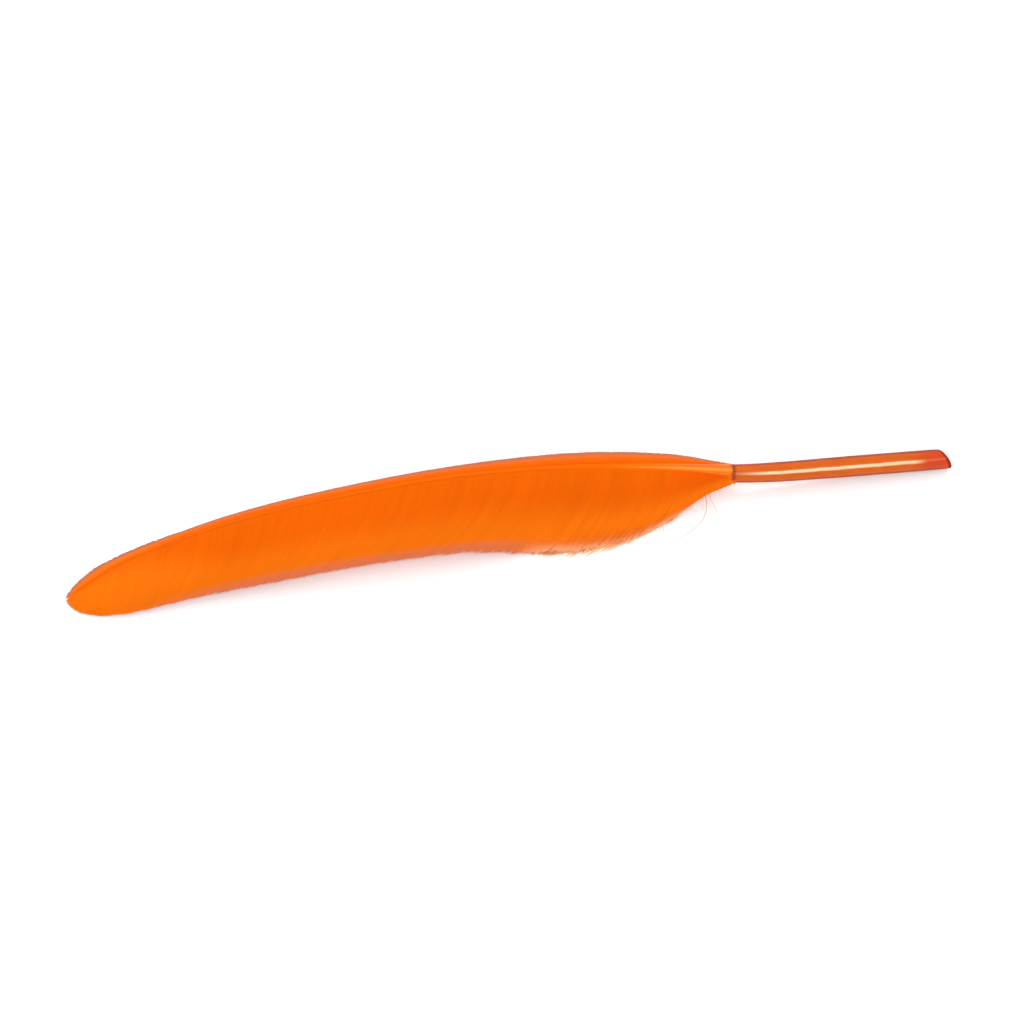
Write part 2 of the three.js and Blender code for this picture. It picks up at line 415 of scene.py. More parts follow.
def hand_over(piece, material):
    """Gives a finished piece its finish, and tells the frame what it stands for."""
    piece.data.materials.append(material)
    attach(piece, BODY)
    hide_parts(NODE)


# Materials


class Number:
    """A shader value; an expression on it adds its Math nodes."""

    def __init__(self, nodes, socket):
        self.nodes = nodes
        self.socket = socket

    def apply(self, operation, *values):
        given = dict(enumerate(values))
        node = self.nodes.add("ShaderNodeMath", {"operation": operation}, given)
        return Number(self.nodes, node.outputs[0])

    def __add__(self, other):
        return self.apply("ADD", self, other)

    def __sub__(self, other):
        return self.apply("SUBTRACT", self, other)

    def __rsub__(self, other):
        return self.apply("SUBTRACT", other, self)

    def __mul__(self, other):
        return self.apply("MULTIPLY", self, other)

    __radd__ = __add__
    __rmul__ = __mul__

    def size(self):
        return self.apply("ABSOLUTE", self)


class Nodes:
    """The node tree of one finish."""

    def __init__(self, name):
        self.material = bpy.data.materials.new(name)
        self.material.use_nodes = True
        self.tree = self.material.node_tree
        self.tree.nodes.clear()
        self.surface = self.add("ShaderNodeBsdfPrincipled")
        self.output = self.add(
            "ShaderNodeOutputMaterial", values={"Surface": self.surface.outputs[0]}
        )

    def add(self, kind, settings=None, values=None):
        node = self.tree.nodes.new(kind)
        for key, value in (settings or {}).items():
            setattr(node, key, value)
        self.put(node, values or {})
        return node

    def put(self, node, values):
        """Sets a node's sockets, or links them where the value is a socket itself."""
        for key, value in values.items():
            socket = node.inputs[key]
            if isinstance(value, Number):
                value = value.socket
            if isinstance(value, bpy.types.NodeSocket):
                self.tree.links.new(value, socket)
            else:
                socket.default_value = value

    def attribute(self, name):
        node = self.add("ShaderNodeAttribute", {"attribute_name": name})
        return Number(self, node.outputs["Fac"])

    def position(self):
        return self.add("ShaderNodeTexCoord").outputs["Object"]

    def vector(self, x, y, z):
        node = self.add("ShaderNodeCombineXYZ", values={0: x, 1: y, 2: z})
        return node.outputs[0]

    def noise(self, place, scale, detail=2.0):
        values = {"Vector": place, "Scale": scale, "Detail": detail}
        node = self.add("ShaderNodeTexNoise", values=values)
        return Number(self, node.outputs["Fac"])

    def streaked(self, along, across, cells, detail):
        """Noise in streaks, with so many cells along the vane and across it."""
        place = self.vector(along * cells[0], across * cells[1], 0.0)
        return self.noise(place, 1.0, detail)

    def ease(self, value, low, high):
        """0 at low and 1 at high, which may be the smaller of the two."""
        settings = {"interpolation_type": "SMOOTHSTEP", "clamp": True}
        values = {"Value": value, "From Min": low, "From Max": high}
        node = self.add("ShaderNodeMapRange", settings, values)
        return Number(self, node.outputs[0])

    def mix(self, share, start, end):
        """Start where the share is 0, end where it is 1."""
        settings = {"data_type": "RGBA", "clamp_factor": True}
        values = {0: share, 6: colour(start), 7: colour(end)}
        return self.add("ShaderNodeMix", settings, values).outputs[2]

    def scaled(self, tint, level):
        """A colour, from a socket, times a number."""
        settings = {"operation": "SCALE"}
        node = self.add("ShaderNodeVectorMath", settings, {0: tint, "Scale": level})
        return node.outputs[0]

    def bump(self, height, strength, distance):
        values = {"Height": height, "Strength": strength, "Distance": distance}
        return self.add("ShaderNodeBump", values=values).outputs[0]

    def thin(self, share, tint):
        """Lets light from behind through the finish, as thin barbs do."""
        through = self.add("ShaderNodeBsdfTranslucent", values={"Color": (*tint, 1)})
        values = {0: share, 1: self.surface.outputs[0], 2: through.outputs[0]}
        blend = self.add("ShaderNodeMixShader", values=values)
        self.put(self.output, {"Surface": blend.outputs[0]})

    def finish(self, **values):
        """The material, once its surface has these values: Base_Color is Base Color."""
        named = {key.replace("_", " "): value for key, value in values.items()}
        self.put(self.surface, named)
        return self.material


def colour(value):
    """A socket as it is, or three or more numbers as an opaque colour."""
    return value if isinstance(value, bpy.types.NodeSocket) else (*value[:3], 1)


def leading_shade(nodes, shade, across, tip, patches):
    """Adds painted shade, with darker dye, beside the shaft on the leading vane, a painted sheen on
    its pale margin and a thin brown line of painted shade at its very rim.
    """
    palette = tints()
    # Painted shade, with some darker dye, in the fold beside the shaft
    crease_shade = nodes.ease(across, 0.45, 0.05) * 0.8
    # Painted sheen along the pale leading margin
    margin = nodes.ease(across, 0.4, 0.85) * (patches * 0.4 + 0.6)
    # Painted shade: a thin brown line at the very edge of the leading vane
    rim = nodes.ease(across, 0.64, 0.84)
    shade = nodes.mix(tip * 0.7, shade, palette.vane_lit)
    shade = nodes.mix(crease_shade, shade, palette.vane_crease_shade)
    shade = nodes.mix(margin, shade, palette.lead_margin_sheen)
    return nodes.mix(rim, shade, palette.lead_rim_shade)


def trailing_shade(nodes, shade, across, along, tip, patches):
    """Adds painted light on the trailing vane's outer part, and a dull strip of painted shade where
    it curls under.
    """
    palette = tints()
    # Painted light: the outer part of the trailing vane is made brighter
    painted_light = nodes.ease(across + tip * 0.4, 0.25, 0.7)
    middle = nodes.ease(along, 0.2, 0.3) * nodes.ease(along, 0.9, 0.65)
    # Painted shade: a duller strip where the trailing vane curls under, away from the light
    curl_shade = nodes.ease(across + patches * 0.08, 0.8, 0.95) * middle
    shade = nodes.mix(painted_light, shade, palette.vane_lit)
    return nodes.mix(curl_shade, shade, palette.trail_curl_shade)


def vane_finish(side):
    """Soft dyed barbs: deep orange along the shaft, paler where the vane thins, with painted light,
    painted sheen and painted shade at its edges and where it curls.

    Across runs from the shaft to the margin, and along from the neck to the tip, both 0 to 1.
    """
    palette = tints()
    nodes = Nodes(f"{side} vane barbs")
    across = nodes.attribute("across")
    along = nodes.attribute("along")
    grain = nodes.attribute("grain")
    patches = nodes.noise(nodes.position(), VANE_PATCHES, 3.0)
    streaks = nodes.streaked(along, across, DYE_STREAKS, 3.0)
    strands = nodes.streaked(along, across, FRAYED_STRANDS, 2.0)
    root = nodes.ease(along, 0.13, 0.0) * nodes.ease(across, 0.75, 0.3)
    tip = nodes.ease(along, 0.72, 0.92)
    shade = nodes.mix(root * 0.75, palette.vane, palette.vane_root)
    if side == "leading":
        shade = leading_shade(nodes, shade, across, tip, patches)
    else:
        shade = trailing_shade(nodes, shade, across, along, tip, patches)
    frayed = nodes.ease(along, 0.03, 0.08) * nodes.ease(along, 0.26, 0.2)
    frayed = frayed * nodes.ease(across, 0.35, 0.7) * float(side == "trailing")
    tips = nodes.ease(across, 0.82, 0.98) * frayed
    shade = nodes.mix(nodes.attribute("loose") * 0.25 + tips * 0.85, shade, palette.down_light)
    opaque = 1 - nodes.ease(across + strands * 0.2, 0.96, 1.18) * frayed * 0.92
    level = (grain - 0.5) * 0.05 + (patches - 0.5) * 0.08 + (streaks - 0.5) * 0.16 + 1
    level = level + (strands - 0.42) * frayed * 0.4 + tips * 0.15
    barbules = nodes.vector(nodes.attribute("reach") * 9.0, nodes.attribute("lateral"), grain)
    nodes.thin(opaque * (tips * 0.1 + 0.25), THROUGH)
    return nodes.finish(
        Base_Color=nodes.scaled(shade, level),
        Roughness=0.7,
        Specular_IOR_Level=0.02,
        Alpha=opaque,
        Normal=nodes.bump(nodes.noise(barbules, 1.6, 1.0), 0.2, BARBULE_DEPTH),
    )


def horn_colour(nodes, horn):
    """Horn that reddens towards the cut end and yellows under the vane."""
    palette = tints()
    share = nodes.attribute("share")
    end = nodes.ease(share, 0.05, 0.012)
    neck = nodes.ease(share, 0.2, QUILL_SHARE)
    body = nodes.mix(neck, horn, palette.neck)
    return nodes.mix(end, body, palette.horn_end)


def horn_finish():
    """The bare quill's wall: clear glossy amber horn that is darkest where it is seen edge on."""
    palette = tints()
    nodes = Nodes("quill horn")
    clouds = nodes.noise(nodes.position(), HORN_CLOUDS, 3.0)
    body = nodes.mix(clouds * 0.1, palette.horn, palette.lining)
    glancing = nodes.add("ShaderNodeLayerWeight", values={"Blend": 0.5}).outputs["Facing"]
    amber = nodes.add("ShaderNodeVolumeAbsorption")
    nodes.put(amber, {"Color": (*HORN_TINT, 1), "Density": HORN_DENSITY})
    nodes.put(nodes.output, {"Volume": amber.outputs[0]})
    return nodes.finish(
        Base_Color=body,
        Roughness=0.08,
        IOR=1.12,
        Specular_IOR_Level=0.1,
        Coat_Weight=nodes.ease(glancing, 0.8, 0.4),
        Coat_IOR=1.28,
        Coat_Roughness=0.1,
        Transmission_Weight=1.0,
        Normal=nodes.bump(clouds, 0.1, HORN_DEPTH),
    )


def lining_finish():
    """The dull lining of the hollow quill, which shows through the horn, with a painted highlight
    stripe along its top and painted shade along its sides.
    """
    palette = tints()
    nodes = Nodes("quill lining")
    clouds = nodes.noise(nodes.position(), HORN_CLOUDS, 3.0)
    share = nodes.attribute("share")
    body = horn_colour(nodes, nodes.mix(clouds, palette.lining, palette.lining_light))
    wander = nodes.noise(nodes.vector(share * 45.0, 0.0, 0.0), 1.0, 2.0) * 0.16 - 0.08
    off = (nodes.attribute("highlight_streak") + wander).size()
    above = nodes.ease(nodes.attribute("crest_highlight"), 0.0, 0.3)
    # Painted highlight: a pale stripe along the top of the hollow, a little off its top
    highlight_streak = nodes.ease(off, 0.25, 0.1) * above
    highlight_streak = highlight_streak * nodes.ease(share, 0.02, 0.04) * nodes.ease(share, 0.25, 0.2)
    # Painted shade along both sides of the lining, where the quill's edges look dark
    flank_shade = nodes.ease(off, 0.8, 0.95) * 0.85
    rim = nodes.ease(nodes.attribute("station"), CUT_RIM, 0.75 * CUT_RIM)
    body = nodes.mix(highlight_streak, body, palette.highlight_streak)
    body = nodes.mix(flank_shade, body, palette.horn_rim_and_flank_shade)
    body = nodes.mix(rim, body, palette.horn_rim_and_flank_shade)
    nodes.thin((1 - highlight_streak) * 0.3, THROUGH)
    return nodes.finish(Base_Color=body, Roughness=0.8, Specular_IOR_Level=0.0)


def shaft_finish():
    """The shaft between the vanes: smooth pithy orange that takes the barbs' colour higher up, with
    a painted highlight line along its top near the neck.
    """
    palette = tints()
    nodes = Nodes("shaft pith")
    share = nodes.attribute("share")
    higher = nodes.ease(share, 0.3, 0.42)
    # Painted highlight: a pale line along the top of the shaft near the neck
    crest_highlight = nodes.ease(nodes.attribute("crest_highlight"), 0.94, 0.995) * nodes.ease(share, 0.4, 0.28)
    ring = nodes.ease(share, 0.2465, 0.245) * 0.7
    clouds = nodes.noise(nodes.position(), PITH_CLOUDS, 2.0)
    body = nodes.mix(higher, palette.shaft, palette.shaft_high)
    body = nodes.mix(crest_highlight * 0.8, body, palette.crest_highlight)
    body = nodes.mix(ring, body, palette.horn_rim_and_flank_shade)
    body = nodes.scaled(body, (clouds - 0.5) * 0.12 + 1)
    return nodes.finish(
        Base_Color=body,
        Roughness=0.6,
        Specular_IOR_Level=0.0,
        Coat_Weight=nodes.ease(share, 0.38, 0.27),
        Coat_IOR=1.18,
        Coat_Roughness=0.1,
        Normal=nodes.bump(clouds, 0.2, HORN_DEPTH),
    )


def down_finish():
    """Loose down: fine threads that let light through."""
    palette = tints()
    nodes = Nodes("down threads")
    body = nodes.mix(nodes.attribute("grain"), palette.down, palette.down_light)
    nodes.thin(0.45, THROUGH_DOWN)
    return nodes.finish(Base_Color=body, Roughness=0.7, Specular_IOR_Level=0.02, Alpha=0.6)


def floor_finish():
    """A matt white table top."""
    nodes = Nodes("white table")
    grain = nodes.noise(nodes.position(), TABLE_GRAIN, 2.0)
    body = nodes.mix(grain, (0.94, 0.94, 0.94), (0.97, 0.97, 0.97))
    return nodes.finish(
        Base_Color=body,
        Roughness=0.9,
        Specular_IOR_Level=0.0,
        Emission_Color=(1, 1, 1, 1),
        Emission_Strength=0.06,
    )


# User settings


class FeatherSizes(bpy.types.PropertyGroup):
    quill_radius: FloatProperty(
        name="Quill radius",
        description="Radius of the thickest part of the bare quill",
        default=1.82 * MM,
        unit="LENGTH",
        precision=5,
    )
    barbs: IntProperty(
        name="Barbs", description="Barbs along each vane", default=320, min=40, max=600
    )
    barb_thickness: FloatProperty(
        name="Barb thickness",
        description="Height of one barb next to the shaft",
        default=0.06 * MM,
        unit="LENGTH",
        precision=5,
    )
    barb_overlap: FloatProperty(
        name="Barb overlap",
        description="Width of a barb over the distance to the next one",
        default=1.5,
        subtype="FACTOR",
    )
    fringe: FloatProperty(
        name="Fringe",
        description="Share of a barb's length over which it tapers to its free tip",
        default=0.045,
        subtype="FACTOR",
    )
    down_barbs: IntProperty(
        name="Downy barbs", description="Loose barbs at the foot of the vane", default=260
    )
    barbules: IntProperty(
        name="Barbules", description="Fine threads on each downy barb", default=14
    )
    stray_hairs: IntProperty(
        name="Stray hairs", description="Single threads that stand off at the foot", default=9
    )


class FeatherColours(bpy.types.PropertyGroup):
    vane: FloatVectorProperty(
        name="Vane",
        description="Dyed barbs in the middle of the vane",
        subtype="COLOR",
        default=(0.85, 0.136, 0.001),
    )
    # Painted light on the outer trailing vane; the same paler colour also goes on the tips of both
    # vanes
    vane_lit: FloatVectorProperty(
        name="Outer vane",
        description="Brighter barbs away from the shaft",
        subtype="COLOR",
        default=(0.93, 0.193, 0.004),
    )
    # Painted shade, with some darker dye, in the fold beside the shaft on the leading side
    vane_crease_shade: FloatVectorProperty(
        name="Crease",
        description="Dye that gathered beside the shaft on the leading side",
        subtype="COLOR",
        default=(0.74, 0.085, 0.001),
    )
    vane_root: FloatVectorProperty(
        name="Vane root",
        description="Deeper dye where the vane begins",
        subtype="COLOR",
        default=(0.86, 0.1, 0.0005),
    )
    # Painted sheen on the pale edge of the leading vane
    lead_margin_sheen: FloatVectorProperty(
        name="Leading margin",
        description="Pale edge of the leading vane",
        subtype="COLOR",
        default=(0.8, 0.18, 0.033),
    )
    # Painted shade: the thin brown line at the very edge of the leading vane
    lead_rim_shade: FloatVectorProperty(
        name="Leading rim",
        description="Thin brown line at the very edge of the leading vane",
        subtype="COLOR",
        default=(0.55, 0.17, 0.075),
    )
    # Painted shade on the strip where the trailing vane curls under
    trail_curl_shade: FloatVectorProperty(
        name="Trailing margin",
        description="Dull band where the trailing vane curls under",
        subtype="COLOR",
        default=(0.76, 0.2, 0.075),
    )
    horn: FloatVectorProperty(
        name="Horn",
        description="Body of the bare quill",
        subtype="COLOR",
        default=(1.0, 0.95, 0.9),
    )
    lining: FloatVectorProperty(
        name="Lining",
        description="Inside of the hollow quill",
        subtype="COLOR",
        default=(1.0, 0.215, 0.0),
    )
    lining_light: FloatVectorProperty(
        name="Light lining",
        description="Paler patches inside the quill",
        subtype="COLOR",
        default=(1.0, 0.265, 0.001),
    )
    # Painted highlight: the pale stripe along the top of the hollow quill
    highlight_streak: FloatVectorProperty(
        name="Streak",
        description="Pale dried pith that lines the top of the hollow",
        subtype="COLOR",
        default=(1.0, 0.95, 0.6),
    )
    horn_end: FloatVectorProperty(
        name="Quill end",
        description="Red horn near the cut end",
        subtype="COLOR",
        default=(0.98, 0.12, 0.01),
    )
    # The dark rim of the cut end and the neck ring, also used for painted shade along the sides of
    # the lining
    horn_rim_and_flank_shade: FloatVectorProperty(
        name="Cut rim",
        description="Dark rim of the cut end and flanks of the lining",
        subtype="COLOR",
        default=(0.36, 0.03, 0.008),
    )
    neck: FloatVectorProperty(
        name="Neck",
        description="Shaft just below the vane",
        subtype="COLOR",
        default=(1.0, 0.24, 0.003),
    )
    shaft: FloatVectorProperty(
        name="Shaft",
        description="Lower shaft between the vanes",
        subtype="COLOR",
        default=(0.8, 0.125, 0.002),
    )
    # Painted highlight: the pale line along the top of the lower shaft
    crest_highlight: FloatVectorProperty(
        name="Crest",
        description="Pale line along the top of the lower shaft",
        subtype="COLOR",
        default=(0.92, 0.3, 0.03),
    )
    shaft_high: FloatVectorProperty(
        name="Upper shaft",
        description="Thin shaft between the vanes, a little duller than they are",
        subtype="COLOR",
        default=(0.75, 0.112, 0.002),
    )
    down: FloatVectorProperty(
        name="Down",
        description="Deeper threads of the down",
        subtype="COLOR",
        default=(1.0, 0.5, 0.17),
    )
    down_light: FloatVectorProperty(
        name="Light down",
        description="Paler threads of the down",
        subtype="COLOR",
        default=(1.0, 0.72, 0.4),
    )


def sizes():
    """The feather's sizes, as the panel has them."""
    return bpy.context.scene.feather_sizes


def tints():
    """The feather's colours, as the panel has them."""
    return bpy.context.scene.feather_colours


# Pieces


def spun(outline, sides):
    """Spins an outline of [radius, distance] pairs around the Y axis."""
    bm = bmesh.new()
    corners = [bm.verts.new((radius, distance, 0)) for radius, distance in outline]
    edges = [bm.edges.new(pair) for pair in zip(corners, corners[1:])]
    bmesh.ops.spin(
        bm,
        geom=corners + edges,
        cent=(0, 0, 0),
        axis=(0, 1, 0),
        angle=2 * math.pi,
        steps=sides,
        use_merge=True,
    )
    bmesh.ops.remove_doubles(bm, verts=bm.verts, dist=1e-4)
    bmesh.ops.recalc_face_normals(bm, faces=bm.faces)
    bm.verts.index_update()
    return bm


def laid_along_shaft(local, share):
    """Where the corners of a spun shaft lie, in mm, once it is bent along the shaft's line."""
    tangent = SHAFT_LINE.tangent(np.clip(share, 0, 1))
    across = unit(np.cross(tangent, [0, 0, 1]))
    up = np.cross(across, tangent)
    laid = SHAFT_LINE.at(share) + across * local[:, :1] + up * local[:, 2:] * SHAFT_FLATNESS
    laid[:, 2] = np.maximum(laid[:, 2], 0)
    return laid


def turned_shaft(name, first, last, steps, sides, inner=None):
    """Spins the shaft's profile between two shares of its length and lays it along its line.

    An inner outline hollows it; the hollow and the rim of the cut have the second material.
    """
    shares = np.linspace(first, last, steps)
    profile = [(shaft_radius(s), s * SHAFT_LINE.length) for s in shares]
    start = inner or [(0, profile[0][1])]
    bm = spun(start + profile + [(0, profile[-1][1])], sides)
    local = np.array([v.co for v in bm.verts])
    radius = np.hypot(local[:, 0], local[:, 2])
    station = local[:, 1] / SHAFT_LINE.length
    slant = END_SLANT * np.maximum(0, 1 - local[:, 1] / END_SLANT_LENGTH)
    share = (local[:, 1] + slant * local[:, 0]) / SHAFT_LINE.length
    for face in bm.faces:
        face.smooth = True
        ring = [v.index for v in face.verts]
        inside = radius[ring].max() < (HOLLOW + 0.01) * shaft_radius(station[ring].mean())
        cut = station[ring].mean() < CUT_RIM
        face.material_index = int(inner is not None and (inside or cut))
    for vertex, place in zip(bm.verts, laid_along_shaft(local, share)):
        vertex.co = Vector(place * MM)
    if bm.calc_volume(signed=True) < 0:
        bmesh.ops.reverse_faces(bm, faces=bm.faces)
    bm.normal_update()
    piece = from_bmesh(name, bm)
    # Distance from the line of the painted highlight stripe, for each corner
    off = local[:, 0] * math.cos(HIGHLIGHT_TURN) + local[:, 2] * math.sin(HIGHLIGHT_TURN)
    axle = np.maximum(radius, 1e-6)
    fields = {
        "share": share,
        "station": station,
        "crest_highlight": local[:, 2] / axle,
        "highlight_streak": off / axle,
    }
    for key, values in fields.items():
        layer = piece.data.attributes.new(key, "FLOAT", "POINT")
        layer.data.foreach_set("value", values.astype(np.float32))
    return piece


def make_quill():
    """A thin-walled tube of horn, closed under the vane and open at the cut end."""
    length = SHAFT_LINE.length
    hollow = [(0, QUILL_SHARE * length)]
    for share in np.linspace(QUILL_SHARE, 0.0, 60):
        hollow.append((shaft_radius(share) * HOLLOW, share * length))
    piece = turned_shaft("quill", 0.0, QUILL_SHARE + QUILL_LAP, 90, 64, hollow)
    hand_over(piece, horn_finish())
    piece.data.materials.append(lining_finish())


def make_rachis():
    """The shaft from the end of the bare quill to the feather's tip."""
    piece = turned_shaft("rachis", QUILL_SHARE, SHAFT_END, 150, 20)
    hand_over(piece, shaft_finish())


def looseness(side, r, t):
    """0 where the barbs hold together, 1 where they have come apart into down."""
    if side == "leading":
        return np.zeros(np.broadcast(r, t).shape)
    first, last = DOWN_RANGE
    along = smooth(first - 0.015, first + 0.02, r) * smooth(last + 0.03, last - 0.03, r)
    return along * smooth(LOOSE_FROM, 1.0, t)


def stand_out(side, r, t):
    """How the loose ends stand out from the curled vane, in mm."""
    if side == "leading":
        return np.zeros(3)
    first, last = DOWN_RANGE
    swell = np.sin(np.pi * np.clip((r - first) / (last - first), 0, 1)) ** 1.2
    before, after = (barb_points(side, r, np.full_like(r, share)) for share in (0.7, 0.85))
    heading = after - before
    heading[..., 2] = 0
    course = unit(heading) * FRINGE_REACH + [0, 0, FRINGE_LIFT]
    return (swell * smooth(0.7, 1.08, t))[..., None] * course


def parted(side, r, t):
    """The barbs' shares along the vane once the partings have pushed them aside."""
    moved = r + np.zeros_like(t)
    for place, gap, reach, spread in SPLITS[side]:
        away = r - place
        push = np.sign(away) * gap * np.exp(-np.abs(away) / spread)
        moved = moved + push * np.maximum(0, (t - reach) / (1 - reach)) ** 1.5
    return np.clip(moved, 0, 1)


def barb_taper(side, roots, share, foot):
    """The barbs' widths at shares of their length, as shares of their full width."""
    ends, starts = (barb_points(side, roots, np.full_like(roots, t)) for t in (1.0, 0.0))
    fringe = np.maximum(sizes().fringe, SHORTEST_TAPER / np.linalg.norm(ends - starts, axis=-1))
    fringe = fringe + LOOSE_TAPER * foot
    return np.clip((1 - share) / fringe, 0, 1) ** 0.7 * (1 - TIP_WIDTH) + TIP_WIDTH


def make_vane(side, seed):
    """Lays flat barbs side by side from the shaft to one margin."""
    rng = np.random.default_rng(seed)
    count = sizes().barbs
    template = strand(BARB_SIDES, BARB_STEPS)
    x, y, share = template[0].T[:, None, :]
    roots = (np.arange(count) + 0.5 + rng.uniform(-ROOT_JITTER, ROOT_JITTER, count)) / count
    roots = roots[:, None]
    foot = looseness(side, roots, np.ones_like(roots))
    wave = REACH_WAVE * np.sin(roots * WAVE_TURN + seed)
    reach = 1 + rng.normal(0, REACH_JITTER, (count, 1)) + wave
    reach = reach + foot * rng.uniform(*LOOSE_REACH, (count, 1))
    t = share * reach
    loose = looseness(side, roots, t)
    sway = rng.normal(0, SWAY, (count, 1)) * t**2
    sway = sway + rng.normal(0, LOOSE_SWAY, (count, 1)) * loose
    r = np.clip(parted(side, roots, t) + sway, 0, 1)
    spread = rng.uniform(*FRINGE_SPREAD, (count, 1, 1))
    centre = barb_points(side, r, t) + stand_out(side, roots, t) * spread
    along, normal, beside = barb_frames(side, r, np.minimum(t, 1))
    lateral = unit(np.cross(along, normal))
    taper = barb_taper(side, roots, share, foot)
    spacing = np.abs((beside * lateral).sum(axis=-1)) / count
    extra = LOOSE_OVERLAP * loose + FOOT_OVERLAP * smooth(FOOT_SHARE, 0, share)
    half_width = 0.5 * spacing * sizes().barb_overlap * (1 + extra) * taper
    half_height = 0.5 * sizes().barb_thickness / MM * (1 - 0.55 * share) * (0.4 + 0.6 * taper)
    shingle = SHINGLE * x * taper * smooth(0, 0.2, share)
    rise = rng.normal(0, RISE, (count, 1)) * smooth(0, 0.3, share)
    rise = rise + rng.uniform(0, LOOSE_RISE, (count, 1)) * loose
    height = y * half_height + shingle + rise + BARB_LIFT
    placed = centre + lateral * (x * half_width)[..., None] + normal * height[..., None]
    top, middle, bottom = RESTING
    lowest = np.where(y > 0.5, top, np.where(y < -0.5, bottom, middle)) + 0.02 * x + 0.3 * rise
    placed[..., 2] = np.maximum(placed[..., 2], lowest)
    flat = np.ones_like(t)
    values = {
        "across": t,
        "along": roots * flat,
        "grain": rng.uniform(0, 1, (count, 1)) * flat,
        "reach": t * 14.0,
        "lateral": x * flat,
        "loose": loose,
    }
    piece = joined_strands(f"{side}_vane", template, placed, values, sharp=True)
    hand_over(piece, vane_finish(side))


def bezier(start, middle, end, t):
    """Points at t on quadratic curves."""
    return start * (1 - t) ** 2 + middle * 2 * t * (1 - t) + end * t**2


def threads(template, start, middle, end, radius):
    """Bends copies of a strand along quadratic curves; start, middle and end are rows of points."""
    x, y, t = template[0].T[:, None, :, None]
    centre = bezier(start[:, None], middle[:, None], end[:, None], t)
    tangent = 2 * (1 - t) * (middle - start)[:, None] + 2 * t * (end - middle)[:, None]
    tangent = unit(tangent + 1e-6)
    across = unit(np.cross(tangent, [0, 0, 1]))
    up = np.cross(across, tangent)
    size = np.asarray(radius).reshape(-1, 1, 1)
    placed = centre + across * x * size + up * y * size
    placed[..., 2] = np.maximum(placed[..., 2], THREAD_GAP + THREAD_HEIGHT * y[..., 0])
    return placed


def make_down():
    """Loose barbs at the foot of the trailing vane, and the barbules on them."""
    rng = np.random.default_rng(31)
    count = sizes().down_barbs
    first, last = DOWN_RANGE
    r = np.sort(rng.uniform(first, last, count))
    start = barb_points("trailing", r, rng.uniform(*DOWN_ROOTS, count))
    start[:, 2] += DOWN_LIFT
    margin = barb_points("trailing", r, np.ones(count))
    swell = np.sin(np.pi * (r - first) / (last - first)) ** 0.6
    reach = (0.1 + 1.1 * swell) * rng.uniform(0.3, 1.2, count)
    sweep = np.stack([-rng.uniform(0.3, 1.1, count), -np.ones(count), np.zeros(count)], axis=-1)
    end = margin + unit(unit(margin - start) + sweep) * reach[:, None]
    end[:, 2] = rng.uniform(*DOWN_HEIGHTS, count)
    template = strand(3, 8, 0.2)
    placed = threads(template, start, margin, end, rng.uniform(*DOWN_RADII, count))
    grain = np.repeat(rng.uniform(0, 1, count), len(template[0]))
    piece = joined_strands("down_barbs", template, placed, {"grain": grain})
    hand_over(piece, down_finish())
    make_barbules(rng, start, margin, end)


def make_barbules(rng, start, middle, end):
    """Fine threads along downy barbs, which are curves from start past middle to end."""
    owner = np.repeat(np.arange(len(start)), sizes().barbules)
    start, middle, end = start[owner], middle[owner], end[owner]
    count = len(owner)
    place = rng.uniform(0.1, 1.0, (count, 1))
    root = bezier(start, middle, end, place)
    course = unit((1 - place) * (middle - start) + place * (end - middle))
    side = np.cross(course, [0, 0, 1]) * rng.choice([-1, 1], (count, 1))
    length = rng.uniform(*BARBULE_LENGTHS, (count, 1))
    lift = rng.uniform(-0.3, 0.5, (count, 1)) * [0, 0, 1]
    bend = root + (course * 0.45 + side * 0.5 + lift * 0.5) * length * 0.5
    tip = root + (course + side * 0.75 + lift) * length
    template = strand(3, 3, 0.3)
    placed = threads(template, root, bend, tip, rng.uniform(*BARBULE_RADII, count))
    paler = rng.uniform(0, 1, count) * 0.6 + place[:, 0] * 0.4
    grain = np.repeat(paler, len(template[0]))
    piece = joined_strands("down_barbules", template, placed, {"grain": grain})
    hand_over(piece, down_finish())


def make_hairs():
    """Single curved threads that stand off beside the neck: three long ones, then short ones."""
    rng = np.random.default_rng(7)
    count = sizes().stray_hairs
    r = np.linspace(0.0, 0.06, count)
    start = barb_points("trailing", r, np.full(count, 0.9))
    turn = rng.uniform(-0.5, 1.2, count)
    away = np.stack([-np.sin(turn), -np.cos(turn), np.zeros(count)], axis=-1)
    length = rng.uniform(0.6, 2.0, count)[:, None]
    curl = np.stack([-away[:, 1], away[:, 0], np.zeros(count)], axis=-1)
    middle = start + away * length * 0.55 - curl * length * rng.uniform(-0.5, 0.5, (count, 1))
    end = start + away * length
    end[:, 2] = rng.uniform(0.1, 1.2, count)
    long_hairs = np.array(LONG_HAIRS)
    start = np.concatenate([long_hairs[:, 0], start])
    middle = np.concatenate([long_hairs[:, 1], middle])
    end = np.concatenate([long_hairs[:, 2], end])
    radius = np.concatenate([LONG_HAIR_RADII, np.full(count, SHORT_HAIR_RADIUS)])
    template = strand(4, 18, 0.3)
    placed = threads(template, start, middle, end, radius)
    grain = np.repeat(rng.uniform(0.5, 1.0, len(start)), len(template[0]))
    piece = joined_strands("stray_hairs", template, placed, {"grain": grain})
    hand_over(piece, down_finish())


# Stage


def make_floor():
    """The pale table that the feather lies on."""
    bm = bmesh.new()
    bmesh.ops.create_grid(bm, x_segments=2, y_segments=2, size=TABLE_HALF)
    bmesh.ops.translate(bm, vec=(0, 0, -TABLE_GAP), verts=bm.verts)
    floor = from_bmesh("table", bm)
    floor.data.materials.append(floor_finish())


